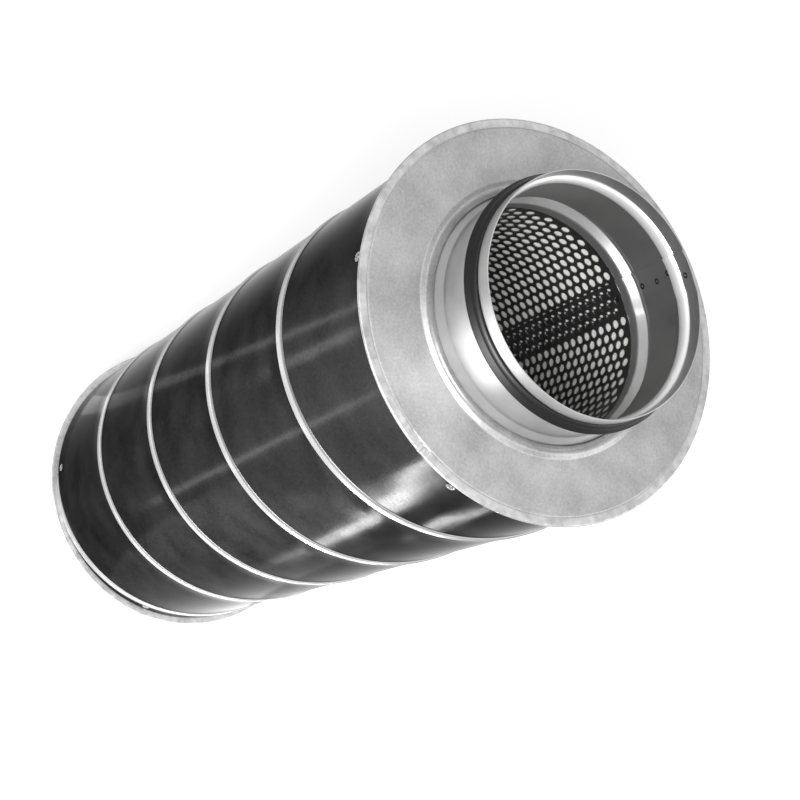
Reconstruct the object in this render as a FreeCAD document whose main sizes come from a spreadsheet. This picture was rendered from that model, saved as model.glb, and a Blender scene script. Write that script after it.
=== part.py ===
import FreeCAD, Part
import os
import sys

import Sketcher

# Round duct sound attenuator: a perforated inner tube that carries the air and ends in two spigots,
# a spiral lock-seam casing around it, two pressed end caps, and absorbing wool between the tubes.
# The part stands on its rear spigot. +Z runs along the duct axis to the front spigot, and the
# origin is the centre of the rear spigot's rim. Angles are measured from +X towards +Y.

doc = FreeCAD.newDocument("duct_sound_attenuator")
sheet = doc.addObject("Spreadsheet::Sheet", "size")

# Driving dimensions, in millimetres and degrees.
dimensions = [
    ("spigot_diameter", 160.0),
    ("tube_wall", 0.7),
    ("spigot_length", 57.0),
    ("body_length", 624.0),
    ("lap_start_angle", 277.0),
    ("lap_angle", 16.5),
    ("groove_to_rim", 9.5),
    ("groove_width", 10.0),
    ("groove_depth", 3.0),
    ("groove_flank", 1.6),
    ("bead_outer_reach", 6.4),
    ("bead_inner_reach", 7.5),
    ("bead_height", 5.0),
    ("bead_crown", 3.0),
    ("bead_crown_rise", 0.5),
    ("hole_diameter", 6.0),
    ("first_hole_depth", 20.4),
    ("first_hole_angle", 297.5),
    ("casing_diameter", 260.0),
    ("casing_wall", 0.6),
    ("strip_pitch", 125.0),
    ("seam_width", 7.0),
    ("seam_crown", 4.4),
    ("seam_height", 1.3),
    ("seam_start_angle", 92.7),
    ("cap_wall", 0.7),
    ("lip_overhang", 5.8),
    ("lip_thickness", 2.2),
    ("lip_clearance", 0.1),
    ("skirt_length", 24.0),
    ("skirt_clearance", 0.15),
    ("collar_rise", 2.1),
    ("collar_width", 8.2),
    ("collar_slope", 2.8),
    ("collar_clearance", 0.25),
    ("front_rivet_line", 16.0),
    ("rear_rivet_line", 12.5),
    ("front_rivet_from_seam", 35.0),
    ("rear_rivet_from_seam", 32.0),
    ("rivet_shank", 3.2),
    ("rivet_clearance", 0.1),
    ("rivet_head", 6.6),
    ("rivet_head_height", 1.3),
    ("rivet_tail", 4.4),
    ("rivet_tail_length", 1.8),
    ("rivet_seat_clearance", 0.05),
    ("mandrel_diameter", 1.9),
    ("mandrel_clearance", 0.05),
    ("mandrel_recess", 0.4),
    ("gasket_clearance", 0.1),
    ("front_lip_reach", 3.6),
    ("front_lip_place", 7.2),
    ("lip_valley", 6.6),
    ("rear_lip_reach", 4.4),
    ("rear_lip_place", 10.0),
    ("fleece_thickness", 0.6),
    ("packing_clearance", 0.3),
]
rivet_count = 5
rivet_sides = 8
perforation_columns = 12
perforation_levels = 2
perforation_sides = 6

for row, (alias, value) in enumerate(dimensions, start=1):
    sheet.set(f"A{row}", alias)
    sheet.set(f"B{row}", str(value))
    sheet.setAlias(f"B{row}", alias)
doc.recompute()

# Radii and levels that several pieces share, written as expressions on the sheet.
tube_out = "size.spigot_diameter / 2"
tube_in = f"({tube_out} - size.tube_wall)"
groove_floor = f"({tube_out} - size.groove_depth)"
casing_out = "size.casing_diameter / 2"
casing_in = f"({casing_out} - size.casing_wall)"
skirt_out = f"({casing_in} - size.skirt_clearance)"
skirt_in = f"({skirt_out} - size.cap_wall)"
lip_out = f"({casing_out} + size.lip_overhang)"
rear_face = "size.spigot_length"
front_face = "(size.spigot_length + size.body_length)"
front_rim = "(2 * size.spigot_length + size.body_length)"


def value_of(expression):
    return float(sheet.evalExpression(expression))


def from_face(end, offset):
    """Height of a point that stands this far outside the cap face of one end."""
    if end == "front":
        return f"({front_face} + ({offset}))"
    return f"({rear_face} - ({offset}))"


def casing_end(end):
    return from_face(end, "-(size.lip_thickness + size.lip_clearance)")


def from_rim(end, offset):
    """Height of a point that lies this far inside the rim of one end."""
    if end == "front":
        return f"({front_rim} - ({offset}))"
    return f"({offset})"


def rivet_level(end):
    return from_face(end, f"-size.{end}_rivet_line")


def rivet_angle(end):
    """The first rivet of a row stands a set angle past the place where the seam crosses the row."""
    climb = f"({rivet_level(end)} - {casing_end('rear')})"
    return f"(size.seam_start_angle + 360 * {climb} / size.strip_pitch + size.{end}_rivet_from_seam)"


def origin_feature(body, role):
    return next(f for f in body.Origin.OriginFeatures if f.Role == role)


def new_body(label):
    body = doc.addObject("PartDesign::Body", label)
    body.Label = label
    return body


def new_sketch(body, name, role, turn="0", out="0"):
    """A sketch on one of the body's own upright planes, turned about Z and moved out along its normal."""
    sketch = body.newObject("Sketcher::SketchObject", name)
    sketch.AttachmentSupport = [(origin_feature(body, role), "")]
    sketch.MapMode = "FlatFace"
    sketch.AttachmentOffset = FreeCAD.Placement(
        FreeCAD.Rotation(FreeCAD.Vector(0, 1, 0), value_of(turn)).multVec(
            FreeCAD.Vector(0, 0, value_of(out))
        ),
        FreeCAD.Rotation(FreeCAD.Vector(0, 1, 0), value_of(turn)),
    )
    if turn != "0":
        sketch.setExpression("AttachmentOffset.Rotation.Angle", turn)
    if out != "0":
        sketch.setExpression("AttachmentOffset.Base.x", f"({out}) * sin({turn} * 1 deg)")
        sketch.setExpression("AttachmentOffset.Base.z", f"({out}) * cos({turn} * 1 deg)")
    return sketch


def hold_point(sketch, edge, end, across, up):
    """Hold one point of a sketch at the two expressions."""
    for kind, axis, expression in (("DistanceX", -2, across), ("DistanceY", -1, up)):
        if expression == "0":
            sketch.addConstraint(Sketcher.Constraint("PointOnObject", edge, end, axis))
            continue
        value = value_of(expression)
        index = sketch.addConstraint(Sketcher.Constraint(kind, -1, 1, edge, end, value))
        sketch.setExpression(f"Constraints[{index}]", expression)


def add_outline(sketch, corners):
    """A closed outline through the corners, each corner a pair of expressions."""
    points = [FreeCAD.Vector(value_of(across), value_of(up), 0) for across, up in corners]
    first = sketch.GeometryCount
    count = len(points)
    for i in range(count):
        sketch.addGeometry(Part.LineSegment(points[i], points[(i + 1) % count]), False)
    for i in range(count):
        following = first + (i + 1) % count
        sketch.addConstraint(Sketcher.Constraint("Coincident", first + i, 2, following, 1))
    for i, (across, up) in enumerate(corners):
        hold_point(sketch, first + i, 1, across, up)


def add_polygon(sketch, level, diameter, sides):
    """A regular polygon on the sketch's upright axis, with the area of a circle of this diameter."""
    reach = f"{diameter} / 2 * sqrt(2 * pi / ({sides} * sin({360 / sides} deg)))"
    corners = []
    for side in range(sides):
        angle = f"{(side + 0.5) * 360 / sides} deg"
        corners.append((f"{reach} * cos({angle})", f"{level} + {reach} * sin({angle})"))
    add_outline(sketch, corners)


def turn_outline(body, name, sketch, axis="V_Axis", angle="360"):
    """Revolve a sketch about one of its own axes."""
    turned = body.newObject("PartDesign::Revolution", name)
    turned.Profile = sketch
    turned.ReferenceAxis = (sketch, [axis])
    turned.Angle = value_of(angle)
    if angle != "360":
        turned.setExpression("Angle", angle)
    return turned


def repeat_around(body, name, features, count):
    """Repeat features evenly around the duct axis."""
    pattern = body.newObject("PartDesign::PolarPattern", name)
    pattern.Originals = features
    pattern.Axis = (origin_feature(body, "Z_Axis"), [""])
    pattern.Angle = 360
    pattern.Occurrences = count
    body.Tip = pattern
    return pattern


def punch_around(body, name, sketch, count):
    """Cut a sketch outwards through the wall on its side of the axis, and repeat the cut."""
    doc.recompute()
    before = body.Shape.Volume
    punch = body.newObject("PartDesign::Pocket", name)
    punch.Profile = sketch
    punch.Type = "ThroughAll"
    punch.Reversed = True
    doc.recompute()
    if body.Shape.Volume >= before:
        raise RuntimeError(f"{name} cuts nothing")
    repeat_around(body, name + "_pattern", [punch], count)


def ring_body(label, corners):
    """A body of revolution from one closed outline of (radius, height) corners."""
    body = new_body(label)
    sketch = new_sketch(body, label + "_outline", "XZ_Plane")
    add_outline(sketch, corners)
    turn_outline(body, label + "_turned", sketch)
    return body


def punch_rivet_holes(body, end):
    """Clearance holes for the row of rivets at one end."""
    sketch = new_sketch(body, f"{end}_rivet_holes", "YZ_Plane", turn=rivet_angle(end))
    diameter = "(size.rivet_shank + 2 * size.rivet_clearance)"
    add_polygon(sketch, rivet_level(end), diameter, rivet_sides)
    punch_around(body, f"{end}_rivet_hole", sketch, rivet_count)


# Inner tube: one rolled sheet, lapped along its length, with a gasket groove and a lock bead
# rolled into each end.
def tube_profile():
    """How far the wall stands inside the spigot's surface, from the rear rim to the front rim."""
    profile = []
    for end in ("rear", "front"):
        groove_end = "size.groove_to_rim + size.groove_width"
        steps = [
            (from_rim(end, "0"), "0"),
            (from_rim(end, "size.groove_to_rim"), "0"),
            (from_rim(end, "size.groove_to_rim + size.groove_flank"), "size.groove_depth"),
            (from_rim(end, f"{groove_end} - size.groove_flank"), "size.groove_depth"),
            (from_rim(end, groove_end), "0"),
            (from_face(end, "size.bead_outer_reach"), "0"),
            (from_face(end, "size.bead_crown_rise"), "-size.bead_height"),
            (from_face(end, "size.bead_crown_rise - size.bead_crown"), "-size.bead_height"),
            (from_face(end, "-size.bead_inner_reach"), "0"),
        ]
        profile += steps if end == "rear" else steps[::-1]
    return profile


def tube_layer(outside, inside):
    """Closed outline of one layer of sheet that follows the tube's profile."""
    profile = tube_profile()
    corners = [(f"{outside} - ({depth})", level) for level, depth in profile]
    corners += [(f"{inside} - ({depth})", level) for level, depth in reversed(profile)]
    return corners


def make_inner_tube():
    body = new_body("inner_tube")
    wall = new_sketch(body, "tube_outline", "XZ_Plane")
    add_outline(wall, tube_layer(tube_out, tube_in))
    turn_outline(body, "tube_turned", wall)
    lap = new_sketch(body, "lap_outline", "XZ_Plane", turn="size.lap_start_angle")
    add_outline(lap, tube_layer(tube_in, f"({tube_in} - size.tube_wall)"))
    turn_outline(body, "lap_turned", lap, angle="size.lap_angle")
    span = "(size.body_length - 2 * size.first_hole_depth)"
    for ring in range(2):
        turn = f"size.first_hole_angle + {ring} * 180 / {perforation_columns}"
        sketch = new_sketch(body, f"perforation_{ring + 1}", "YZ_Plane", turn=turn)
        for step in range(perforation_levels):
            share = (2 * step + ring) / (2 * perforation_levels - 1)
            level = f"({rear_face} + size.first_hole_depth + {span} * {share})"
            add_polygon(sketch, level, "size.hole_diameter", perforation_sides)
        punch_around(body, f"perforation_punch_{ring + 1}", sketch, perforation_columns)
    return body


# Casing: a strip wound into a tube and locked by a raised seam that climbs in a helix. The tube is
# wound longer than needed and cut square at both ends, through wall and seam together.
def make_outer_casing():
    rear_end = casing_end("rear")
    front_end = casing_end("front")
    waste = "2 * size.seam_width"
    wound_rear = f"({rear_end} - {waste})"
    wound_front = f"({front_end} + {waste})"
    body = ring_body("outer_casing", [
        (casing_in, wound_rear), (casing_out, wound_rear),
        (casing_out, wound_front), (casing_in, wound_front),
    ])
    doc.recompute()
    lead_in = "size.seam_width"
    turn = f"size.seam_start_angle - 360 * {lead_in} / size.strip_pitch"
    root = f"({casing_out} - size.casing_wall / 2)"
    crest = f"({casing_out} + size.seam_height)"
    sketch = new_sketch(body, "seam_section", "XZ_Plane", turn=turn)
    start = f"({rear_end} - {lead_in})"
    add_outline(sketch, [
        (root, f"{start} - size.seam_width / 2"),
        (crest, f"{start} - size.seam_crown / 2"),
        (crest, f"{start} + size.seam_crown / 2"),
        (root, f"{start} + size.seam_width / 2"),
    ])
    seam = body.newObject("PartDesign::AdditiveHelix", "lock_seam")
    seam.Profile = sketch
    seam.ReferenceAxis = (sketch, ["V_Axis"])
    seam.Mode = "pitch-height-angle"
    seam.Pitch = value_of("size.strip_pitch")
    seam.setExpression("Pitch", "size.strip_pitch")
    climb = f"{front_end} - {rear_end} + 2 * {lead_in}"
    seam.Height = value_of(climb)
    seam.setExpression("Height", climb)
    doc.recompute()
    inner = f"({casing_in} - size.casing_wall)"
    outer = f"({crest} + size.seam_height)"
    for end, level in (("rear", rear_end), ("front", front_end)):
        away = from_face(end, waste)
        trim = new_sketch(body, f"{end}_trim_outline", "XZ_Plane")
        add_outline(trim, [(inner, level), (outer, level), (outer, away), (inner, away)])
        before = body.Shape.Volume
        cut = body.newObject("PartDesign::Groove", f"{end}_trim")
        cut.Profile = trim
        cut.ReferenceAxis = (trim, ["V_Axis"])
        cut.Angle = 360
        doc.recompute()
        if body.Shape.Volume >= before:
            raise RuntimeError(f"{end} trim cuts nothing")
        punch_rivet_holes(body, end)
    return body


# End cap: one pressed sheet with a raised collar round the tube, a folded lip that covers the
# casing's end, and a skirt that slides into the casing and takes the rivets.
def make_end_cap(end):
    under_collar = "(size.collar_rise - size.cap_wall)"
    flank = "size.bead_height / (size.bead_outer_reach - size.bead_crown_rise)"
    bead_there = f"{tube_out} + (size.bead_outer_reach - {under_collar}) * {flank}"
    bore = f"({bead_there} + size.collar_clearance)"
    collar_foot = f"({bore} + size.collar_width)"
    collar_edge = f"({collar_foot} - size.collar_slope)"
    corners = [
        (bore, "size.collar_rise"),
        (collar_edge, "size.collar_rise"),
        (collar_foot, "0"),
        (lip_out, "0"),
        (lip_out, "-size.lip_thickness"),
        (skirt_out, "-size.lip_thickness"),
        (skirt_out, "-size.skirt_length"),
        (skirt_in, "-size.skirt_length"),
        (skirt_in, "-size.cap_wall"),
        (f"{collar_foot} - size.cap_wall / 2", "-size.cap_wall"),
        (f"{collar_edge} - size.cap_wall / 2", under_collar),
        (bore, under_collar),
    ]
    body = ring_body(f"{end}_end_cap", [(across, from_face(end, up)) for across, up in corners])
    punch_rivet_holes(body, end)
    return body


# Gasket: a rubber ring stretched into the rolled groove, with two lips that lean back.
def make_gasket(end):
    seat = f"({groove_floor} + size.gasket_clearance)"
    near = "size.groove_to_rim + size.groove_flank + size.gasket_clearance"
    far = "size.groove_to_rim + size.groove_width - size.groove_flank - size.gasket_clearance"
    corners = [
        (seat, near),
        (f"{tube_out} + size.front_lip_reach", "size.groove_to_rim + size.front_lip_place"),
        (tube_out, "size.groove_to_rim + size.lip_valley"),
        (f"{tube_out} + size.rear_lip_reach", "size.groove_to_rim + size.rear_lip_place"),
        (seat, far),
    ]
    return ring_body(f"{end}_gasket", [(across, from_rim(end, depth)) for across, depth in corners])


# Fleece and wool: the fleece is wrapped round the tube between the beads, and the wool mat round it.
def make_sleeve(label, inside, outside):
    reach = "-(size.bead_inner_reach + size.packing_clearance)"
    rear_end = from_face("rear", reach)
    front_end = from_face("front", reach)
    return ring_body(label, [
        (inside, rear_end), (outside, rear_end), (outside, front_end), (inside, front_end),
    ])


# Rivets: each end has one row of blind rivets through the casing and the cap's skirt. A set rivet
# is a hollow body, wide at its head and at its upset tail, with the mandrel's stub left in it.
rivet_end = f"({skirt_in} - size.rivet_tail_length)"
tail_seat = f"({skirt_in} - size.rivet_seat_clearance)"
rivet_top = f"({casing_out} + size.rivet_head_height)"
rivet_bore = "(size.mandrel_diameter + 2 * size.mandrel_clearance)"


def make_rivet_row(end, kind, stages, bore=None):
    """One row of turned pieces on radial axes, from stages of (inner radius, outer radius, diameter)."""
    body = new_body(f"{end}_{kind}")
    body.AllowCompound = True
    pads = []
    for number, (start, stop, diameter) in enumerate(stages):
        sketch = new_sketch(body, f"{end}_{kind}_{number}", "YZ_Plane", rivet_angle(end), out=start)
        add_polygon(sketch, rivet_level(end), diameter, rivet_sides)
        if bore:
            add_polygon(sketch, rivet_level(end), bore, rivet_sides)
        pad = body.newObject("PartDesign::Pad", f"{end}_{kind}_pad_{number}")
        pad.Profile = sketch
        pad.Length = value_of(f"{stop} - {start}")
        pad.setExpression("Length", f"{stop} - {start}")
        pads.append(pad)
    doc.recompute()
    repeat_around(body, f"{end}_{kind}_row", pads, rivet_count)
    return body


def make_rivets(end):
    make_rivet_row(end, "rivet_bodies", [
        (rivet_end, tail_seat, "size.rivet_tail"),
        (tail_seat, casing_out, "size.rivet_shank"),
        (casing_out, rivet_top, "size.rivet_head"),
    ], bore=rivet_bore)
    stub_top = f"({rivet_top} - size.mandrel_recess)"
    make_rivet_row(end, "rivet_mandrels", [(rivet_end, stub_top, "size.mandrel_diameter")])


fleece_in = f"({tube_out} + size.packing_clearance)"
fleece_out = f"({fleece_in} + size.fleece_thickness)"
make_inner_tube()
make_outer_casing()
make_sleeve("fleece_wrap", fleece_in, fleece_out)
make_sleeve("mineral_wool_mat", f"({fleece_out} + size.packing_clearance)",
            f"({rivet_end} - size.packing_clearance)")
for end in ("rear", "front"):
    make_end_cap(end)
    make_gasket(end)
    make_rivets(end)
doc.recompute()

# Nothing is written unless every object is sound and every piece is a valid solid.
for obj in doc.Objects:
    if "Invalid" in obj.State or "Error" in obj.State:
        sys.exit(f"{obj.Name} failed: {obj.State}")
pieces = [obj for obj in doc.Objects if obj.TypeId == "PartDesign::Body"]
for piece in pieces:
    shape = piece.Shape
    if shape.isNull() or not shape.isValid() or not shape.Solids:
        sys.exit(f"{piece.Label} has no valid solid")

os.makedirs("parts", exist_ok=True)
for piece in pieces:
    piece.Shape.exportStep(f"parts/{piece.Label}.step")
    print(f"{piece.Label}: {len(piece.Shape.Solids)} solids, {piece.Shape.Volume:.0f} mm3")
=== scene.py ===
import math

import bmesh
import bpy
from mathutils import Matrix, Vector


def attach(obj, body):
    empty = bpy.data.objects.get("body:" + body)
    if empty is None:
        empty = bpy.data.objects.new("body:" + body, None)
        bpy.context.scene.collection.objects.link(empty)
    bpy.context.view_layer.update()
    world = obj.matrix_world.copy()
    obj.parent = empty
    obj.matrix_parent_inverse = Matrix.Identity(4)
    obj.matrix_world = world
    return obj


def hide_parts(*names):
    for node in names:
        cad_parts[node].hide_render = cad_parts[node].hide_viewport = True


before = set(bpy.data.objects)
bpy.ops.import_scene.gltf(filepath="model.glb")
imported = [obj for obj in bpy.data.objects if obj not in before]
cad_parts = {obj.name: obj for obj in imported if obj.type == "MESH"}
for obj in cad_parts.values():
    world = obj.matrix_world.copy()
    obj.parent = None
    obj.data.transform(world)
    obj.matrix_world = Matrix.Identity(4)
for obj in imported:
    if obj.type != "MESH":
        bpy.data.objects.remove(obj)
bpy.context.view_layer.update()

# Round duct sound attenuator, standing on its rear spigot. The duct axis is +Z and angles run
# from +X towards +Y. Values in the dictionaries are millimetres and degrees.
mm = 0.001
mergeGap = 0.00001  # metres: closer points are one

levels = {
    "rearRim": 0.0,
    "rearFace": 57.0,
    "frontFace": 681.0,
    "frontRim": 738.0,
}


def faceLevel(end, offset):
    # height of a point that stands this far outside one end's cap face
    if end == "front":
        return levels["frontFace"] + offset
    return levels["rearFace"] - offset


def rimLevel(end, depth):
    # height of a point that lies this far inside one end's rim
    if end == "front":
        return levels["frontRim"] - depth
    return levels["rearRim"] + depth


def addPath(bm, points):
    # a chain of edges through (radius, height) points in the XZ plane
    verts = [bm.verts.new((radius * mm, 0.0, height * mm)) for radius, height in points]
    return [bm.edges.new(pair) for pair in zip(verts, verts[1:])]


def roundedPath(points, corners):
    # the same path with an arc at each corner whose radius is given
    path = [points[0]]
    for index in range(1, len(points) - 1):
        radius = corners.get(index, 0.0)
        if radius == 0.0:
            path.append(points[index])
            continue
        here = Vector(points[index])
        before = (Vector(points[index - 1]) - here).normalized()
        after = (Vector(points[index + 1]) - here).normalized()
        half = before.angle(after) / 2
        reach = radius / math.tan(half)
        middle = here + (before + after).normalized() * radius / math.sin(half)
        start = here + before * reach - middle
        turn = start.angle_signed(here + after * reach - middle)
        steps = max(2, round(abs(math.degrees(turn)) / 15))
        for step in range(steps + 1):
            spun = Matrix.Rotation(-turn * step / steps, 2) @ start
            path.append(tuple(middle + spun))
    path.append(points[-1])
    return path


def spinPath(bm, edges, steps, angle=360.0):
    # turn a chain of edges about the duct axis
    geom = list({vert for edge in edges for vert in edge.verts}) + edges
    bmesh.ops.spin(
        bm, geom=geom, cent=(0, 0, 0), axis=(0, 0, 1), angle=math.radians(angle),
        steps=steps, use_merge=angle == 360.0, use_normal_flip=False, use_duplicate=False,
    )


def finishMesh(bm, name, sharpAngle=35.0, keepNormals=False):
    if not keepNormals:
        bmesh.ops.remove_doubles(bm, verts=bm.verts, dist=mergeGap)
        bmesh.ops.recalc_face_normals(bm, faces=bm.faces)
    mesh = bpy.data.meshes.new(name)
    bm.to_mesh(mesh)
    bm.free()
    mesh.shade_smooth()
    mesh.set_sharp_from_angle(angle=math.radians(sharpAngle))
    piece = bpy.data.objects.new(name, mesh)
    bpy.context.scene.collection.objects.link(piece)
    return piece


def place(piece, node, slot, material):
    # hand a finished piece to the frame as the stand-in of its node
    piece.data.materials.append(material)
    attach(piece, "root")
    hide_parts(node)
    print("made", piece.name, "with", len(piece.data.polygons), "faces")


def linearColor(hexText):
    # sRGB hex to the linear colour that shader sockets take
    parts = [int(hexText[i:i + 2], 16) / 255 for i in (1, 3, 5)]
    linear = [p / 12.92 if p <= 0.04045 else ((p + 0.055) / 1.055) ** 2.4 for p in parts]
    return tuple(linear) + (1.0,)


def addNode(tree, kind, settings=None, inputs=None, links=None):
    # one node with its settings, socket values and incoming links
    node = tree.nodes.new(kind)
    for key, value in (settings or {}).items():
        setattr(node, key, value)
    for key, value in (inputs or {}).items():
        node.inputs[key].default_value = value
    for key, source in (links or {}).items():
        tree.links.new(source, node.inputs[key])
    return node


def patternScale(size):
    # noise scale for cells of this many millimetres. Zinc's own grain is finer than a pixel, so
    # the grain sizes used here are drawn as coarse as they need to show.
    return 1 / (size * mm)


def newMaterial(name):
    material = bpy.data.materials.new(name)
    material.use_nodes = True
    tree = material.node_tree
    tree.nodes.clear()
    return material, tree


def closeMaterial(tree, shader):
    addNode(tree, "ShaderNodeOutputMaterial", links={"Surface": shader.outputs[0]})


def colorRamp(tree, source, stops):
    # a ramp from (place, hex) stops
    ramp = addNode(tree, "ShaderNodeValToRGB", links={"Fac": source})
    while len(ramp.color_ramp.elements) < len(stops):
        ramp.color_ramp.elements.new(0.5)
    for element, (position, color) in zip(ramp.color_ramp.elements, stops):
        element.position = position
        element.color = linearColor(color)
    return ramp


# Casing: one strip's width, wound up the helix, welded to itself and cut square at both ends.
casing = {
    "radius": 130.0,
    "wall": 0.6,
    "pitch": 125.0,
    "seamWidth": 7.0,
    "seamHeight": 1.3,
    "seamAngle": 92.7,
    "endGap": 2.3,
    "stepsPerTurn": 240,
    "bow": 0.03,
}


def stripSteel():
    # hot-dip galvanised strip, skin-passed: a dark gloss, cloudy along the strip, whose base colour is
    # painted shade darker than the zinc for the dark surroundings the strip mirrors, with a painted
    # highlight along the crest of the lock seam, drawn near white and rougher
    material, tree = newMaterial("galvanisedStrip")
    coords = addNode(tree, "ShaderNodeTexCoord")
    waves = addNode(tree, "ShaderNodeTexNoise",
                    inputs={"Scale": patternScale(111.1), "Detail": 1.0},
                    links={"Vector": coords.outputs["Object"]})
    grain = addNode(tree, "ShaderNodeTexNoise",
                    inputs={"Scale": patternScale(1.923), "Detail": 3.0},
                    links={"Vector": coords.outputs["Object"]})
    smudge = addNode(tree, "ShaderNodeTexNoise",
                     inputs={"Scale": patternScale(33.33), "Detail": 7.0},
                     links={"Vector": coords.outputs["Object"]})
    split = addNode(tree, "ShaderNodeSeparateXYZ", links={0: coords.outputs["Object"]})
    turn = addNode(tree, "ShaderNodeMath", {"operation": "ARCTAN2"},
                   links={0: split.outputs["Y"], 1: split.outputs["X"]})
    turns = addNode(tree, "ShaderNodeMath",
                    {"operation": "DIVIDE"}, {1: math.tau}, {0: turn.outputs[0]})
    climb = addNode(tree, "ShaderNodeMath", {"operation": "DIVIDE"}, {1: casing["pitch"] * mm},
                    {0: split.outputs["Z"]})
    winding = addNode(tree, "ShaderNodeMath", {"operation": "SUBTRACT"},
                      links={0: climb.outputs[0], 1: turns.outputs[0]})
    shift = casing["seamAngle"] / 360 - faceLevel("rear", -casing["endGap"]) / casing["pitch"]
    shifted = addNode(tree, "ShaderNodeMath",
                      {"operation": "ADD"}, {1: shift}, {0: winding.outputs[0]})
    away = addNode(tree, "ShaderNodeMath",
                   {"operation": "PINGPONG"}, {1: 0.5}, {0: shifted.outputs[0]})
    edge = casing["seamWidth"] / 2 / casing["pitch"]
    crest = addNode(tree, "ShaderNodeMapRange", {"interpolation_type": "SMOOTHSTEP"},
                    {"From Min": edge * 1.3, "From Max": edge * 1.05}, {"Value": away.outputs[0]})
    speckle = addNode(tree, "ShaderNodeMix", inputs={0: 0.45},
                      links={2: smudge.outputs["Fac"], 3: grain.outputs["Fac"]})
    # painted shade: these stops are darker than the zinc, standing in for the dark surroundings that a
    # glossy strip mirrors
    color = colorRamp(tree, speckle.outputs[0], [(0.36, "#3E3E3E"), (0.64, "#4C4C4C")])
    # painted highlight: the seam crest is coloured near white, so that it reads bright from every side
    paintedCrestHighlight = addNode(tree, "ShaderNodeMix", {"data_type": "RGBA"}, {7: linearColor("#CACACA")},
                     {0: crest.outputs[0], 6: color.outputs[0]})
    gloss = addNode(tree, "ShaderNodeMapRange", inputs={"To Min": 0.12, "To Max": 0.2},
                    links={"Value": smudge.outputs["Fac"]})
    rougher = addNode(tree, "ShaderNodeMath", {"operation": "MULTIPLY_ADD"}, {1: 0.16},
                      {0: crest.outputs[0], 2: gloss.outputs[0]})
    wavy = addNode(tree, "ShaderNodeBump", inputs={"Strength": 0.25, "Distance": 0.002},
                    links={"Height": waves.outputs["Fac"]})
    grainy = addNode(tree, "ShaderNodeBump", inputs={"Strength": 0.06, "Distance": 0.0002},
                    links={"Height": grain.outputs["Fac"], "Normal": wavy.outputs[0]})
    shader = addNode(tree, "ShaderNodeBsdfPrincipled",
                     inputs={"Metallic": 1.0, "Specular Tint": linearColor("#A0A0A0")},
                     links={"Base Color": paintedCrestHighlight.outputs[2], "Roughness": rougher.outputs[0],
                            "Normal": grainy.outputs[0]})
    closeMaterial(tree, shader)
    return material


# End cap: one pressed sheet, from the bore over the collar and face, folded back under the lip
# and down into the skirt.
cap = {
    "wall": 0.7,
    "bore": 84.5,
    "collarRise": 2.1,
    "collarFoot": 92.7,
    "collarSlope": 2.8,
    "hemInner": 129.6,
    "hemDrop": 0.2,
    "lipRadius": 135.8,
    "lipThickness": 2.2,
    "skirtRadius": 129.25,
    "skirtLength": 24.0,
    "nick": {"front": 129.0, "rear": 155.0},
    "nickCuts": [(0.0, 1.25, 0.6), (1.9, 0.7, 0.5), (-1.9, 0.9, 0.55), (-4.0, 0.5, 0.5)],
    "wrinkleDepth": 0.18,
    "wrinkleSpread": 5.0,
    "wrinkleOffset": 5.5,
    "unevenness": 0.035,
    "steps": 720,
}


def pressedSteel():
    # galvanised sheet, pressed: matt light grey zinc, mottled and grainy, with a dull oxide bloom,
    # which is why it isn't quite a full metal
    material, tree = newMaterial("galvanisedPressing")
    coords = addNode(tree, "ShaderNodeTexCoord")
    grain = addNode(tree, "ShaderNodeTexNoise",
                    inputs={"Scale": patternScale(1.613), "Detail": 3.0},
                    links={"Vector": coords.outputs["Object"]})
    cloud = addNode(tree, "ShaderNodeTexNoise",
                    inputs={"Scale": patternScale(26.32), "Detail": 7.0, "Roughness": 0.6},
                    links={"Vector": coords.outputs["Object"]})
    mottle = addNode(tree, "ShaderNodeMix", inputs={0: 0.4},
                     links={2: cloud.outputs["Fac"], 3: grain.outputs["Fac"]})
    color = colorRamp(tree, mottle.outputs[0], [(0.34, "#A2A2A2"), (0.66, "#C6C6C6")])
    flat = addNode(tree, "ShaderNodeVectorMath", {"operation": "MULTIPLY"}, {1: (1, 1, 0)},
                   {0: coords.outputs["Object"]})
    reach = addNode(tree, "ShaderNodeVectorMath",
                    {"operation": "LENGTH"}, links={0: flat.outputs[0]})
    blotch = addNode(tree, "ShaderNodeTexNoise",
                     inputs={"Scale": patternScale(9.091), "Detail": 4.0, "Roughness": 0.6},
                     links={"Vector": coords.outputs["Object"]})
    paleBand = colorRamp(tree, blotch.outputs["Fac"],
                       [(0.32, "#B2B2B2"), (0.5, "#CBCBCB"), (0.7, "#E0E0E0")])
    # the hem band, drawn brighter than the face and blotched
    hem = addNode(tree, "ShaderNodeMapRange", {"interpolation_type": "SMOOTHSTEP"},
                  {"From Min": (cap["hemInner"] - 0.4) * mm,
                   "From Max": (cap["hemInner"] + 1.6) * mm},
                  {"Value": reach.outputs["Value"]})
    banded = addNode(tree, "ShaderNodeMix", {"data_type": "RGBA"},
                     links={0: hem.outputs[0], 6: color.outputs[0], 7: paleBand.outputs[0]})
    gloss = addNode(tree, "ShaderNodeMapRange", inputs={"To Min": 0.36, "To Max": 0.48},
                    links={"Value": cloud.outputs["Fac"]})
    bump = addNode(tree, "ShaderNodeBump", inputs={"Strength": 0.15, "Distance": 0.0003},
                   links={"Height": grain.outputs["Fac"]})
    shader = addNode(tree, "ShaderNodeBsdfPrincipled", inputs={"Metallic": 0.85},
                     links={"Base Color": banded.outputs[2], "Roughness": gloss.outputs[0],
                            "Normal": bump.outputs[0]})
    closeMaterial(tree, shader)
    return material


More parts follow.
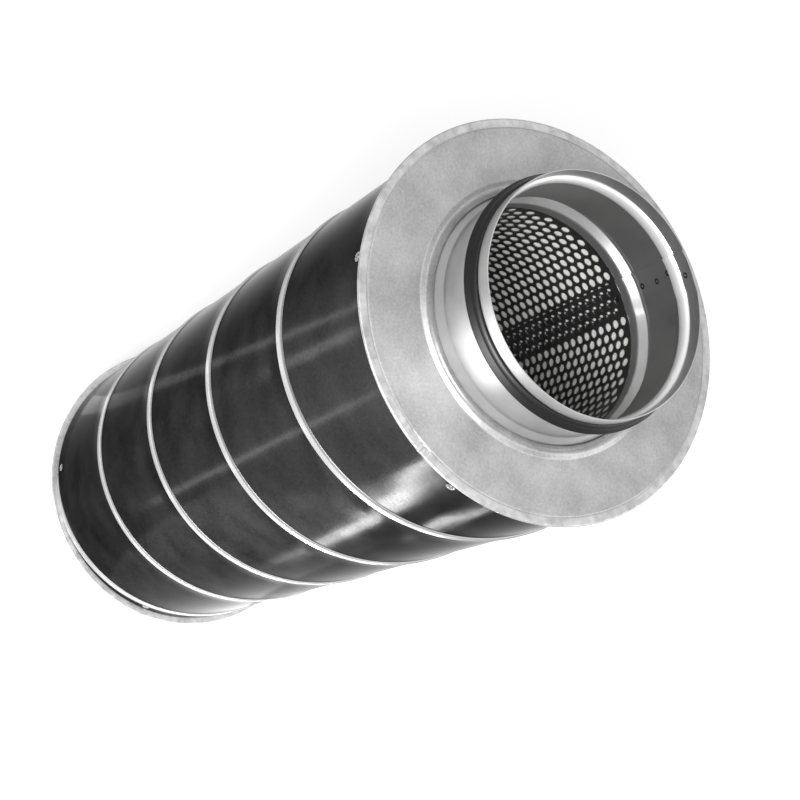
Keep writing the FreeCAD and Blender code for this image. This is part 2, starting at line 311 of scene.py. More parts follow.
def rolledSteel(name, dark, light, rough, metal):
    # galvanised sheet rolled into the tube: satin zinc, bright on the spigots and darker on the
    # punched sheet, whose colour is painted shade for the inside of the tube; the grooves are painted
    # pale, a painted highlight, and made less metallic, so matt
    material, tree = newMaterial(name)
    coords = addNode(tree, "ShaderNodeTexCoord")
    cloud = addNode(tree, "ShaderNodeTexNoise",
                    inputs={"Scale": patternScale(38.46), "Detail": 6.0},
                    links={"Vector": coords.outputs["Object"]})
    grain = addNode(tree, "ShaderNodeTexNoise",
                    inputs={"Scale": patternScale(1.6667), "Detail": 2.0},
                    links={"Vector": coords.outputs["Object"]})
    split = addNode(tree, "ShaderNodeSeparateXYZ", links={0: coords.outputs["Object"]})
    middle = levels["frontRim"] / 2
    centred = addNode(tree, "ShaderNodeMath", {"operation": "SUBTRACT"}, {1: middle * mm},
                      {0: split.outputs["Z"]})
    along = addNode(tree, "ShaderNodeMath",
                    {"operation": "ABSOLUTE"}, links={0: centred.outputs[0]})
    away = addNode(tree, "ShaderNodeMath", {"operation": "SUBTRACT"}, {1: (middle - 15.0) * mm},
                   {0: along.outputs[0]})
    reach = addNode(tree, "ShaderNodeMath", {"operation": "ABSOLUTE"}, links={0: away.outputs[0]})
    # painted highlight: the groove bands about 15 mm in from each rim are drawn pale and less metallic
    paleBand = addNode(tree, "ShaderNodeMapRange", {"interpolation_type": "SMOOTHSTEP"},
                     {"From Min": 5.4 * mm, "From Max": 4.6 * mm}, {"Value": reach.outputs[0]})
    metalness = addNode(tree, "ShaderNodeMath",
                        {"operation": "MULTIPLY_ADD"}, {1: 0.35 - metal, 2: metal},
                        {0: paleBand.outputs[0]})
    color = colorRamp(tree, cloud.outputs["Fac"], [(0.3, dark), (0.7, light)])
    paintedGrooveHighlight = addNode(tree, "ShaderNodeMix", {"data_type": "RGBA"}, {7: linearColor("#F0F0F0")},
                   {0: paleBand.outputs[0], 6: color.outputs[0]})
    gloss = addNode(tree, "ShaderNodeMapRange",
                    inputs={"To Min": rough - 0.05, "To Max": rough + 0.05},
                    links={"Value": cloud.outputs["Fac"]})
    bump = addNode(tree, "ShaderNodeBump", inputs={"Strength": 0.08, "Distance": 0.0003},
                   links={"Height": grain.outputs["Fac"]})
    shader = addNode(tree, "ShaderNodeBsdfPrincipled",
                     links={"Base Color": paintedGrooveHighlight.outputs[2], "Roughness": gloss.outputs[0],
                            "Metallic": metalness.outputs[0], "Normal": bump.outputs[0]})
    closeMaterial(tree, shader)
    return material


def blackRubber():
    # moulded EPDM: deep black with a soft sheen and a fine matt skin
    material, tree = newMaterial("mouldedRubber")
    coords = addNode(tree, "ShaderNodeTexCoord")
    skin = addNode(tree, "ShaderNodeTexNoise",
                   inputs={"Scale": patternScale(1.1111), "Detail": 2.0},
                   links={"Vector": coords.outputs["Object"]})
    color = colorRamp(tree, skin.outputs["Fac"], [(0.3, "#090909"), (0.7, "#101010")])
    bump = addNode(tree, "ShaderNodeBump", inputs={"Strength": 0.15, "Distance": 0.0001},
                   links={"Height": skin.outputs["Fac"]})
    shader = addNode(tree, "ShaderNodeBsdfPrincipled", inputs={"Roughness": 0.36},
                     links={"Base Color": color.outputs[0], "Normal": bump.outputs[0]})
    closeMaterial(tree, shader)
    return material


def paleFleece():
    # polyester fleece: white felt with loose fibres
    material, tree = newMaterial("whiteFleece")
    coords = addNode(tree, "ShaderNodeTexCoord")
    fibre = addNode(tree, "ShaderNodeTexNoise",
                    inputs={"Scale": patternScale(3.125), "Detail": 6.0},
                    links={"Vector": coords.outputs["Object"]})
    color = colorRamp(tree, fibre.outputs["Fac"], [(0.3, "#D9D9D4"), (0.7, "#F2F2EE")])
    bump = addNode(tree, "ShaderNodeBump", inputs={"Strength": 0.5, "Distance": 0.0004},
                   links={"Height": fibre.outputs["Fac"]})
    shader = addNode(tree, "ShaderNodeBsdfPrincipled",
                     inputs={"Roughness": 0.95, "Sheen Weight": 0.3},
                     links={"Base Color": color.outputs[0], "Normal": bump.outputs[0]})
    closeMaterial(tree, shader)
    return material


def mineralWool():
    # stone wool mat: matted yellow-grey fibres
    material, tree = newMaterial("mineralWool")
    coords = addNode(tree, "ShaderNodeTexCoord")
    fibre = addNode(tree, "ShaderNodeTexNoise",
                    inputs={"Scale": patternScale(6.25), "Detail": 8.0, "Distortion": 1.5},
                    links={"Vector": coords.outputs["Object"]})
    color = colorRamp(tree, fibre.outputs["Fac"], [(0.3, "#7C7350"), (0.7, "#B8AD82")])
    bump = addNode(tree, "ShaderNodeBump", inputs={"Strength": 0.8, "Distance": 0.001},
                   links={"Height": fibre.outputs["Fac"]})
    shader = addNode(tree, "ShaderNodeBsdfPrincipled", inputs={"Roughness": 1.0},
                     links={"Base Color": color.outputs[0], "Normal": bump.outputs[0]})
    closeMaterial(tree, shader)
    return material


def rivetAluminium():
    # drawn aluminium, bright from the rivet tool
    material, tree = newMaterial("rivetAluminium")
    coords = addNode(tree, "ShaderNodeTexCoord")
    scuff = addNode(tree, "ShaderNodeTexNoise",
                    inputs={"Scale": patternScale(1.4286), "Detail": 3.0},
                    links={"Vector": coords.outputs["Object"]})
    color = colorRamp(tree, scuff.outputs["Fac"], [(0.3, "#8E8E8E"), (0.7, "#A9A9A9")])
    bump = addNode(tree, "ShaderNodeBump", inputs={"Strength": 0.1, "Distance": 0.0001},
                   links={"Height": scuff.outputs["Fac"]})
    shader = addNode(tree, "ShaderNodeBsdfPrincipled", inputs={"Metallic": 1.0, "Roughness": 0.4},
                     links={"Base Color": color.outputs[0], "Normal": bump.outputs[0]})
    closeMaterial(tree, shader)
    return material


def scorchedSteel(name, dark, light):
    # bare steel without its zinc, dull and dark: the mandrels' stubs and the weld marks
    material, tree = newMaterial(name)
    coords = addNode(tree, "ShaderNodeTexCoord")
    scuff = addNode(tree, "ShaderNodeTexNoise",
                    inputs={"Scale": patternScale(1.1111), "Detail": 3.0},
                    links={"Vector": coords.outputs["Object"]})
    color = colorRamp(tree, scuff.outputs["Fac"], [(0.3, dark), (0.7, light)])
    shader = addNode(tree, "ShaderNodeBsdfPrincipled", inputs={"Metallic": 1.0, "Roughness": 0.5},
                     links={"Base Color": color.outputs[0]})
    closeMaterial(tree, shader)
    return material


strip = stripSteel()
pressing = pressedSteel()
spigotSteel = rolledSteel("galvanisedSheet", "#C2C2C2", "#D8D8D8", 0.3, 0.85)
# painted shade: the punched sheet's colours are darker than the spigots' for the inside of the tube
punchedSteel = rolledSteel("galvanisedPerforated", "#727272", "#868686", 0.3, 0.9)
rubber = blackRubber()
fleece = paleFleece()
wool = mineralWool()
aluminium = rivetAluminium()
darkSteel = scorchedSteel("mandrelSteel", "#2A2A2A", "#4C4C4C")
weldSteel = scorchedSteel("weldMark", "#2C2C2C", "#6A6A6A")
print("materials ready")


def makeCasing():
    outer = casing["radius"]
    top = casing["seamHeight"]
    half = casing["seamWidth"] / 2
    rearEnd = faceLevel("rear", -casing["endGap"])
    frontEnd = faceLevel("front", -casing["endGap"])
    # across one strip, from the middle of one seam to the middle of the next
    across = [
        (0.0, top), (half - 1.3, top), (half - 0.5, top - 0.35), (half - 0.1, top * 0.45), (half, 0.0),
        (half + 1.5, -0.05), (half + 20.0, casing["bow"] * 0.6), (casing["pitch"] / 2, casing["bow"]),
        (casing["pitch"] - half - 20.0, casing["bow"] * 0.6), (casing["pitch"] - half - 1.0, 0.0),
        (casing["pitch"] - half - 0.35, 0.12), (casing["pitch"] - half, top - 0.3),
        (casing["pitch"] - half + 0.35, top), (casing["pitch"], top),
    ]
    turnsBelow = 1
    start = rearEnd - turnsBelow * casing["pitch"]
    bm = bmesh.new()
    edges = addPath(bm, [(outer + rise, start + place) for place, rise in across])
    turns = math.ceil((frontEnd - start) / casing["pitch"]) + 1
    steps = casing["stepsPerTurn"] * turns
    geom = list({vert for edge in edges for vert in edge.verts}) + edges
    bmesh.ops.rotate(bm, verts=bm.verts, cent=(0, 0, 0),
                     matrix=Matrix.Rotation(math.radians(casing["seamAngle"]), 3, "Z"))
    bmesh.ops.spin(
        bm, geom=geom, cent=(0, 0, 0), axis=(0, 0, 1), angle=math.radians(360 * turns), steps=steps,
        dvec=(0, 0, casing["pitch"] * mm / casing["stepsPerTurn"]), use_merge=False,
        use_normal_flip=False, use_duplicate=False,
    )
    bmesh.ops.remove_doubles(bm, verts=bm.verts, dist=mergeGap * 2)
    for level, up in ((rearEnd, -1), (frontEnd, 1)):
        bmesh.ops.bisect_plane(
            bm, geom=bm.verts[:] + bm.edges[:] + bm.faces[:], dist=0.000001,
            plane_co=(0, 0, level * mm), plane_no=(0, 0, up), clear_outer=True, clear_inner=False,
        )
    bmesh.ops.recalc_face_normals(bm, faces=bm.faces)
    middle = (rearEnd + frontEnd) / 2 * mm
    sample = min(bm.faces, key=lambda face: abs(face.calc_center_median().z - middle))
    outward = sample.normal.dot(Vector(sample.calc_center_median()) * Vector((1, 1, 0))) > 0
    if not outward:
        bmesh.ops.reverse_faces(bm, faces=bm.faces)
    bmesh.ops.solidify(bm, geom=bm.faces[:], thickness=casing["wall"] * mm)
    return finishMesh(bm, "casingShell", sharpAngle=32.0, keepNormals=True)


place(makeCasing(), "outer_casing", "galvanised_strip", strip)


def hemDent(end, angle, radius):
    # how far the folded edge is pressed in: a nick across it, wrinkles beside the nick, and a
    # slow unevenness all round from the folding rollers
    away = (angle - cap["nick"][end] + 180) % 360 - 180
    nick = sum(depth * math.exp(-((away - side) / wide) ** 2)
               for side, depth, wide in cap["nickCuts"])
    near = math.exp(-((away + cap["wrinkleOffset"]) / cap["wrinkleSpread"]) ** 2)
    wrinkles = cap["wrinkleDepth"] * near * (math.sin(angle * 2.9) + math.sin(angle * 5.3 + radius))
    slow = math.sin(math.radians(angle * 11)) + math.sin(math.radians(angle * 23 + radius * 9))
    slow *= cap["unevenness"]
    return nick + wrinkles + slow


def makeCap(end):
    half = cap["wall"] / 2
    face = -half
    back = -cap["lipThickness"] + half
    skirt = cap["skirtRadius"] - half
    path = [
        (cap["bore"], cap["collarRise"] - half),
        (cap["collarFoot"] - cap["collarSlope"], cap["collarRise"] - half),
        (cap["collarFoot"], face),
        (cap["hemInner"] - 2.0, face),
        (cap["hemInner"] - 1.0, face),
        (cap["hemInner"] - 0.5, face - 0.03),
        (cap["hemInner"], face - 0.3),
        (cap["hemInner"] + 0.35, face - cap["hemDrop"]),
        (cap["hemInner"] + 0.7, face - cap["hemDrop"]),
        (cap["lipRadius"] - 1.6, face - cap["hemDrop"]),
        (cap["lipRadius"] - half, face - cap["hemDrop"]),
        (cap["lipRadius"] - half, back),
        (skirt, back),
        (skirt, -cap["skirtLength"]),
    ]
    foldRadius = (face - cap["hemDrop"] - back) / 2 - 0.01
    path = roundedPath(path, {1: 2.0, 2: 2.6, 10: foldRadius, 11: foldRadius, 12: 0.5})
    bm = bmesh.new()
    edges = addPath(bm, [(radius, faceLevel(end, rise)) for radius, rise in path])
    spinPath(bm, edges, cap["steps"])
    bmesh.ops.remove_doubles(bm, verts=bm.verts, dist=mergeGap)
    outward = 1 if end == "front" else -1
    for vert in bm.verts:
        height = (vert.co.z / mm - faceLevel(end, 0.0)) * outward
        radius = math.hypot(vert.co.x, vert.co.y) / mm
        if radius > cap["hemInner"] + 0.3 and height > -cap["lipThickness"] / 2:
            angle = math.degrees(math.atan2(vert.co.y, vert.co.x)) % 360
            vert.co.z -= outward * hemDent(end, angle, radius) * mm
    piece = finishMesh(bm, end + "Cap", sharpAngle=60.0)
    thicken = piece.modifiers.new("sheet", "SOLIDIFY")
    thicken.thickness = cap["wall"] * mm
    thicken.offset = 0.0
    return piece


for end in ("front", "rear"):
    place(makeCap(end), end + "_end_cap", "galvanised_cap", pressing)


# Inner tube: one sheet rolled past a full turn, so that its last stretch laps inside its first.
tube = {
    "radius": 80.0,
    "wall": 0.7,
    "lapStart": 277.0,
    "lapAngle": 16.5,
    "lapLift": 0.5,
    "grooveToRim": 10.2,
    "grooveWidth": 9.6,
    "grooveDepth": 3.0,
    "grooveFlank": 1.6,
    "beadHeight": 5.0,
    "beadOuter": 6.4,
    "beadInner": 7.5,
    "holeMargin": 20.4,
    "holePitch": 8.4,
    "holeRadius": 3.0,
    "holeSides": 12,
    "rowsPerTurn": 68.5193,
    "rows": 71,
    "columns": 70,
    "firstRow": 281.74,
    "steps": 240,
}


def frontPlainEdge():
    # height at which the front plain end takes over from the perforated sheet
    return faceLevel("front", -tube["holeMargin"]) + tube["holePitch"] * 0.72


def rearPlainEdge():
    span = tube["holePitch"] * (tube["columns"] - 0.5 + 0.72)
    return faceLevel("front", -tube["holeMargin"]) - span


def lapInset(angle):
    # how far the sheet has stepped inside its own first stretch, at an angle along the sheet
    start = tube["lapStart"] + 360.0
    share = min(max((angle - start + 4.0) / 4.0, 0.0), 1.0)
    lift = max((angle - start - tube["lapAngle"] + 5.0) / 5.0, 0.0)
    return tube["wall"] * share * share * (3 - 2 * share) + tube["lapLift"] * lift * lift


def bendSheet(bm, flatRadius):
    # roll a flat sheet: x is the angle in degrees, y the depth below the tube's surface and z the
    # height
    for vert in bm.verts:
        angle, depth, height = vert.co
        radius = flatRadius - depth - lapInset(angle)
        turn = math.radians(angle)
        vert.co = (radius * mm * math.cos(turn), radius * mm * math.sin(turn), height * mm)


def endProfile(end):
    # (depth, height) along one plain end, from rim to the first row of holes
    outer = tube["grooveToRim"]
    inner = outer + tube["grooveWidth"]
    flank = tube["grooveFlank"]
    depth = tube["grooveDepth"]
    points = [
        (0.0, rimLevel(end, 0.0)),
        (0.0, rimLevel(end, outer)),
        (depth * 0.66, rimLevel(end, outer + flank)),
        (depth, rimLevel(end, (outer + inner) / 2)),
        (depth * 0.66, rimLevel(end, inner - flank)),
        (0.0, rimLevel(end, inner)),
        (0.0, faceLevel(end, tube["beadOuter"])),
        (-tube["beadHeight"], faceLevel(end, 0.2)),
        (-tube["beadHeight"], faceLevel(end, -2.2)),
        (0.0, faceLevel(end, -tube["beadInner"])),
        (0.0, frontPlainEdge() if end == "front" else rearPlainEdge()),
    ]
    corners = {1: 0.8, 2: 1.6, 3: 6.0, 4: 1.6, 5: 0.8, 6: 2.0, 7: 1.8, 8: 1.8, 9: 2.5}
    return roundedPath(points, corners)


def solidSheet(bm, name):
    # thicken the flat sheet inwards, roll it and finish it
    bmesh.ops.recalc_face_normals(bm, faces=bm.faces)
    facing = sum(face.normal.y for face in bm.faces)
    if facing > 0:
        bmesh.ops.reverse_faces(bm, faces=bm.faces)
    bmesh.ops.solidify(bm, geom=bm.faces[:], thickness=tube["wall"])
    bendSheet(bm, tube["radius"])
    return finishMesh(bm, name, sharpAngle=40.0, keepNormals=True)


def makeTubeEnd(end):
    profile = endProfile(end)
    bm = bmesh.new()
    verts = [bm.verts.new((tube["lapStart"], depth, height)) for depth, height in profile]
    edges = [bm.edges.new(pair) for pair in zip(verts, verts[1:])]
    span = 360.0 + tube["lapAngle"]
    for _ in range(tube["steps"]):
        grown = bmesh.ops.extrude_edge_only(bm, edges=edges)
        fresh = [item for item in grown["geom"] if isinstance(item, bmesh.types.BMVert)]
        edges = [item for item in grown["geom"] if isinstance(item, bmesh.types.BMEdge)
                 and all(vert in fresh for vert in item.verts)]
        bmesh.ops.translate(bm, verts=fresh, vec=(span / tube["steps"], 0, 0))
    return solidSheet(bm, end + "Spigot")


def addTile(bm, place, holed):
    # one leaning tile of the sheet, in degrees by millimetres, with or without its hole
    half = 180.0 / tube["rowsPerTurn"]
    pitch = tube["holePitch"]
    fresh = []
    if holed:
        ring = bmesh.ops.create_circle(bm, cap_ends=False, segments=tube["holeSides"], radius=1.0)
        radius = tube["holeRadius"]
        for vert in ring["verts"]:
            across = math.degrees(vert.co.x * radius / tube["radius"])
            vert.co = (place[0] + across, 0.0, place[1] + vert.co.y * radius)
        fresh += ring["verts"]
    offsets = ((-half, -0.75), (-half, 0.25), (half, 0.75), (half, -0.25))
    corners = [bm.verts.new((place[0] + across, 0.0, place[1] + pitch * rise))
               for across, rise in offsets]
    for pair in zip(corners, corners[1:] + corners[:1]):
        bm.edges.new(pair)
    edges = list({edge for vert in fresh + corners for edge in vert.link_edges})
    bmesh.ops.triangle_fill(bm, edges=edges, use_beauty=True, use_dissolve=False)


def makePerforation(name, end):
    # a column of tiles, repeated row by row with every other row half a pitch on; each piece takes
    # half of the tube's length and a plain edge is left beside the rim and beside both free edges
    rowStep = 360.0 / tube["rowsPerTurn"]
    pitch = tube["holePitch"]
    lastRow = faceLevel("front", -tube["holeMargin"]) - pitch / 2
    half = tube["columns"] // 2
    columns = range(0, half) if end == "rear" else range(half, tube["columns"])
    bm = bmesh.new()
    addTile(bm, (0.0, 0.0), True)
    tile = bm.verts[:] + bm.edges[:] + bm.faces[:]
    for step in range(1, len(columns)):
        copy = bmesh.ops.duplicate(bm, geom=tile)["geom"]
        moved = [item for item in copy if isinstance(item, bmesh.types.BMVert)]
        bmesh.ops.translate(bm, verts=moved, vec=(0, 0, pitch * step))
    addTile(bm, (0.0, -pitch if end == "rear" else pitch * len(columns)), False)
    row = bm.verts[:] + bm.edges[:] + bm.faces[:]
    for step in range(1, tube["rows"]):
        copy = bmesh.ops.duplicate(bm, geom=row)["geom"]
        moved = [item for item in copy if isinstance(item, bmesh.types.BMVert)]
        bmesh.ops.translate(bm, verts=moved, vec=(rowStep * step, 0, pitch / 2 * (step % 2)))
    for side in (-1, tube["rows"]):
        for step in range(-1, len(columns) + 1):
            if end == "rear" and step == len(columns) or end == "front" and step == -1:
                continue
            addTile(bm, (rowStep * side, pitch * (step + (side % 2) / 2)), False)
    base = lastRow - pitch * (tube["columns"] - 1 - columns[0])
    bmesh.ops.translate(bm, verts=bm.verts, vec=(tube["firstRow"], 0, base))
    bmesh.ops.remove_doubles(bm, verts=bm.verts, dist=0.02)
    edge = rearPlainEdge() if end == "rear" else frontPlainEdge()
    lapEnd = tube["lapStart"] + 360.0 + tube["lapAngle"]
    cuts = (((0, 0, edge), (0, 0, -1 if end == "rear" else 1)),
            ((tube["lapStart"], 0, 0), (-1, 0, 0)), ((lapEnd, 0, 0), (1, 0, 0)))
    for spot, way in cuts:
        bmesh.ops.bisect_plane(
            bm, geom=bm.verts[:] + bm.edges[:] + bm.faces[:], dist=0.001, plane_co=spot,
            plane_no=way, clear_outer=True, clear_inner=False,
        )
    return solidSheet(bm, name)


for end in ("front", "rear"):
    place(makeTubeEnd(end), "inner_tube", "galvanised_tube", spigotSteel)
    place(makePerforation(end + "Perforation", end), "inner_tube", "galvanised_tube", punchedSteel)


# Spot welds that hold the lap: small pressed rings with a burnt middle on the inner layer.
welds = {
    "spots": [
        (285.7, 689.8), (285.0, 704.8), (286.5, 717.0), (282.0, 731.9), (285.0, 662.0), (289.0, 576.5),
        (288.7, 584.6), (285.5, 48.0), (285.0, 32.0), (286.0, 7.0),
    ],
    "radius": 2.1,
    "rise": 0.22,
}


def makeWelds():
    bm = bmesh.new()
    for angle, height in welds["spots"]:
        made = bmesh.ops.create_circle(bm, cap_ends=True, segments=20, radius=welds["radius"])
        face = made["verts"][0].link_faces[0]
        rings = [made["verts"]]
        for width in (0.45, 0.5, 0.45):
            bmesh.ops.inset_individual(bm, faces=[face], thickness=width, depth=0.0)
            rings.append(list(face.verts))
        depths = (0.0, welds["rise"], welds["rise"] * 0.8, -0.1)
        for ring, rise in zip(rings, depths):
            for vert in ring:
                across = math.degrees(vert.co.x / tube["radius"])
                vert.co = (angle + 360.0 + across, tube["wall"] + rise, height + vert.co.y)
    bendSheet(bm, tube["radius"])
    return finishMesh(bm, "weldMarks", sharpAngle=60.0)


place(makeWelds(), "inner_tube", "galvanised_tube", weldSteel)


# Gaskets: a rubber ring in each groove, with two lips that lean back towards the cap.
gasket = {
    "seat": 77.1,
    "near": 12.0,
    "far": 17.9,
    "steps": 256,
}


def makeGasket(end):
    outline = [
        (78.9, gasket["near"]), (80.2, gasket["near"] + 0.2), (80.8, gasket["near"] + 0.5),
        (82.4, 14.3), (82.6, 14.7), (82.3, 14.9), (79.6, 15.0), (79.4, 15.5), (79.7, 15.9),
        (84.0, 18.8), (84.4, 19.4), (84.1, 19.6), (80.6, 18.4), (78.9, gasket["far"]),
        (gasket["seat"], 15.6), (gasket["seat"], 14.2),
    ]
    bm = bmesh.new()
    edges = addPath(bm, [(radius, rimLevel(end, depth)) for radius, depth in outline])
    first, last = edges[0].verts[0], edges[-1].verts[1]
    edges.append(bm.edges.new((last, first)))
    spinPath(bm, edges, gasket["steps"])
    return finishMesh(bm, end + "Gasket", sharpAngle=40.0)


for end in ("front", "rear"):
    place(makeGasket(end), end + "_gasket", "black_rubber", rubber)


# Rivets: five blind rivets to an end, each a dome on a low flange with the mandrel's stub in its
# bore.
rivet = {
    "count": 5,
    "seamOffset": {"front": 35.0, "rear": 32.0},
    "line": {"front": 16.0, "rear": 12.5},
    "seat": 130.0,
    "head": 3.3,
    "headHeight": 1.3,
    "bore": 1.0,
    "shank": 1.6,
    "tail": 2.2,
    "tailEnd": 126.75,
    "skirtInner": 128.5,
    "steps": 24,
}


def rivetAngle(end):
    level = faceLevel(end, -rivet["line"][end])
    climb = level - faceLevel("rear", -casing["endGap"])
    return casing["seamAngle"] + 360 * climb / casing["pitch"] + rivet["seamOffset"][end]


def makeRivetRow(name, end, outline):
    # turn one piece about its own radial axis, then copy it round the row
    bm = bmesh.new()
    verts = [bm.verts.new((out * mm, 0.0, away * mm)) for out, away in outline]
    edges = [bm.edges.new(pair) for pair in zip(verts, verts[1:] + verts[:1])]
    bmesh.ops.spin(bm, geom=verts + edges, cent=(0, 0, 0), axis=(1, 0, 0), angle=math.tau,
                   steps=rivet["steps"], use_merge=True, use_normal_flip=False, use_duplicate=False)
    bmesh.ops.remove_doubles(bm, verts=bm.verts, dist=0.000001)
    bmesh.ops.translate(bm, verts=bm.verts, vec=(0, 0, faceLevel(end, -rivet["line"][end]) * mm))
    turn = math.radians(rivetAngle(end))
    bmesh.ops.rotate(bm, verts=bm.verts, cent=(0, 0, 0), matrix=Matrix.Rotation(turn, 3, "Z"))
    single = bm.verts[:] + bm.edges[:] + bm.faces[:]
    for step in range(1, rivet["count"]):
        copy = bmesh.ops.duplicate(bm, geom=single)["geom"]
        moved = [item for item in copy if isinstance(item, bmesh.types.BMVert)]
        spot = Matrix.Rotation(math.tau * step / rivet["count"], 3, "Z")
        bmesh.ops.rotate(bm, verts=moved, cent=(0, 0, 0), matrix=spot)
    bmesh.ops.recalc_face_normals(bm, faces=bm.faces)
    return finishMesh(bm, name, sharpAngle=45.0, keepNormals=True)


for end in ("front", "rear"):
    top = rivet["seat"] + rivet["headHeight"]
    body = [
        (rivet["tailEnd"], rivet["bore"]), (top - 0.25, rivet["bore"]),
        (top - 0.05, rivet["bore"] + 0.15),
        (top, rivet["bore"] + 0.35), (top - 0.15, 1.75), (top - 0.75, 2.05), (top - 0.75, 2.35),
        (top - 0.5, 2.7),
        (rivet["seat"] + 0.35, rivet["head"]),
        (rivet["seat"], rivet["head"] - 0.05), (rivet["seat"], rivet["shank"]),
        (rivet["skirtInner"], rivet["shank"]), (rivet["skirtInner"] - 0.2, rivet["tail"]),
        (rivet["tailEnd"] + 0.3, rivet["tail"]), (rivet["tailEnd"], rivet["tail"] - 0.4),
    ]
    place(makeRivetRow(end + "RivetBodies", end, body), end + "_rivet_bodies", "rivet_metal",
          aluminium)
    stub = [
        (rivet["tailEnd"], 0.0), (rivet["tailEnd"], 0.9), (top - 0.6, 0.9), (top - 0.45, 0.7),
        (top - 0.4, 0.0),
    ]
    place(makeRivetRow(end + "RivetMandrels", end, stub), end + "_rivet_mandrels", "rivet_metal",
          darkSteel)

# Fleece and wool keep their solids and take a fibrous finish.
for node, material in (("fleece_wrap", fleece), ("mineral_wool_mat", wool)):
    solid = bpy.data.objects[node]
    solid.data.materials.clear()
    solid.data.materials.append(material)


# Stage: a pale floor, two soft lamps, low strips that the casing mirrors, and the photograph's
# viewing angle.
stage = {
    "floorSize": 30.0,
    "floorColor": "#F4F4F4",
    "lens": 70.14,
    "target": (0.689, 0.39, -7.3827),
    "axisNormal": (0.4855, 0.2185, 0.8465),
    "capRadius": 135.8,
    "sky": 0.3,
    "skyLow": 0.5,
    "skyHigh": 1.3,
    "floorGlow": 0.35,
    # low lamps on the floor, hidden from the camera, that the casing mirrors as the streaks of the
    # photographed view: name, both ends, width and radiance
    "strips": [
        ("lowStripA", (0.244, 0.48), (0.224, 0.301), 0.022, 3.4),
        ("lowStripB", (0.224, 0.301), (0.171, 0.177), 0.026, 3.2),
        ("lowStripC", (0.171, 0.177), (0.107, 0.100), 0.03, 1.3),
        ("lowStripD", (0.117, 0.40), (0.138, 0.52), 0.045, 3.0),
        ("lowStripE", (-0.096, 0.23), (-0.186, 0.505), 0.016, 4.0),
        ("lowStripF", (-0.480, 0.24), (-0.470, 0.11), 0.018, 65.0),
        ("lowStripG", (-0.466, 0.11), (-0.435, 0.015), 0.05, 55.0),
        ("lowStripH", (-0.430, 0.015), (-0.350, 0.004), 0.045, 45.0),
        ("lowStripI", (-0.350, 0.004), (-0.28, 0.004), 0.026, 8.0),
        ("lowStripJ", (-0.478, -0.20), (-0.432, -0.128), 0.012, 200.0),
        ("lowPanel", (-0.115, 0.10), (-0.42, 0.03), 0.34, 1.3),
    ],
}


def makeFloor():
    bm = bmesh.new()
    bmesh.ops.create_grid(bm, x_segments=1, y_segments=1, size=stage["floorSize"] / 2)
    floor = finishMesh(bm, "studioFloor", keepNormals=True)
    material, tree = newMaterial("paleFloor")
    diffuse = addNode(tree, "ShaderNodeBsdfDiffuse",
                      inputs={"Color": linearColor(stage["floorColor"])})
    glow = addNode(tree, "ShaderNodeEmission",
                   inputs={"Color": (1, 1, 1, 1), "Strength": stage["floorGlow"]})
    path = addNode(tree, "ShaderNodeLightPath")
    seen = addNode(tree, "ShaderNodeMath", {"operation": "MAXIMUM"},
                   links={0: path.outputs["Is Camera Ray"], 1: path.outputs["Is Glossy Ray"]})
    seenToo = addNode(tree, "ShaderNodeMath", {"operation": "MAXIMUM"},
                      links={0: seen.outputs[0], 1: path.outputs["Is Transmission Ray"]})
    both = addNode(tree, "ShaderNodeAddShader", links={0: diffuse.outputs[0], 1: glow.outputs[0]})
    mixed = addNode(tree, "ShaderNodeMixShader",
                    links={0: seenToo.outputs[0], 1: diffuse.outputs[0],
                                                        2: both.outputs[0]})
    closeMaterial(tree, mixed)
    floor.data.materials.append(material)


def makeWorld():
    world = bpy.data.worlds.new("studioWorld")
    world.use_nodes = True
    bpy.context.scene.world = world
    tree = world.node_tree
    path = addNode(tree, "ShaderNodeLightPath")
    coords = addNode(tree, "ShaderNodeTexCoord")
    split = addNode(tree, "ShaderNodeSeparateXYZ", links={0: coords.outputs["Generated"]})
    dome = addNode(tree, "ShaderNodeMapRange", {"interpolation_type": "SMOOTHSTEP"},
                   {"From Min": 0.68, "From Max": 0.88,
                    "To Min": stage["skyLow"], "To Max": stage["skyHigh"]},
                   {"Value": split.outputs["Z"]})
    glow = addNode(tree, "ShaderNodeMix", inputs={2: stage["sky"]},
                   links={0: path.outputs["Is Glossy Ray"], 3: dome.outputs[0]})
    background = tree.nodes["Background"]
    background.inputs["Color"].default_value = (1, 1, 1, 1)
    tree.links.new(glow.outputs[0], background.inputs["Strength"])


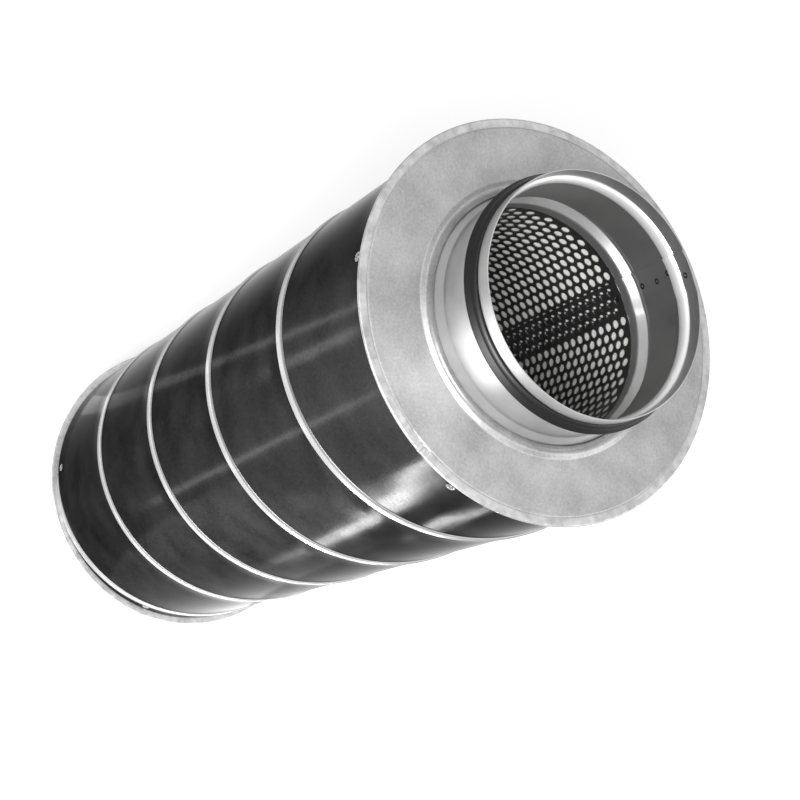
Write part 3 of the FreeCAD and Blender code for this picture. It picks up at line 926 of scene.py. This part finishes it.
def addLamp(name, spot, aim, size, power, hidden=False):
    lamp = bpy.data.lights.new(name, "AREA")
    lamp.shape = "RECTANGLE"
    lamp.size, lamp.size_y = size
    lamp.energy = power
    holder = bpy.data.objects.new(name, lamp)
    holder.location = spot
    holder.rotation_euler = (Vector(aim) - Vector(spot)).to_track_quat("-Z", "Y").to_euler()
    holder.visible_camera = not hidden
    bpy.context.scene.collection.objects.link(holder)
    return holder


def addFloorStrip(name, start, end, width, radiance):
    # a low strip lamp on the floor that draws one streak on the casing
    start, end = Vector(start), Vector(end)
    length = (end - start).length
    middle = (start + end) / 2
    holder = addLamp(name, (middle.x, middle.y, 0.004), (middle.x, middle.y, 1.0), (length, width),
                     radiance * math.pi * length * width, True)
    turn = math.atan2((end - start).y, (end - start).x)
    holder.rotation_euler = (math.pi, 0.0, turn)


def makeCamera():
    # the camera's frame, from the duct axis as the photograph shows it
    normal = Vector(stage["axisNormal"]).normalized()
    up = (Vector((0, 1, 0)) - normal * normal.y).normalized()
    left = normal.cross(up)
    centre = Vector(stage["target"])
    camera = bpy.data.cameras.new("photoCamera")
    camera.lens = stage["lens"]
    camera.sensor_width = 36.0
    camera.clip_end = 50.0
    holder = bpy.data.objects.new("photoCamera", camera)
    rows = Matrix((up, left, normal))
    position = -(rows @ centre) * stage["capRadius"] * mm + Vector((0, 0, levels["frontFace"] * mm))
    holder.matrix_world = Matrix.Translation(position) @ rows.to_4x4()
    bpy.context.scene.collection.objects.link(holder)
    bpy.context.scene.camera = holder
    return holder


cameraHolder = makeCamera()
makeFloor()
makeWorld()
addLamp("keySoftbox", (-0.9, 1.5, 2.7), (0, 0, 0.4), (1.2, 1.2), 85.0)
addLamp("sideSoftbox", (-1.3, -1.9, 1.9), (0, 0, 0.4), (1.4, 1.4), 15.0)
for values in stage["strips"]:
    addFloorStrip(*values)
bpy.context.scene.view_settings.view_transform = "Standard"
cameraSpot = [round(value, 3) for value in cameraHolder.matrix_world.translation]
print("stage ready, camera at", cameraSpot)
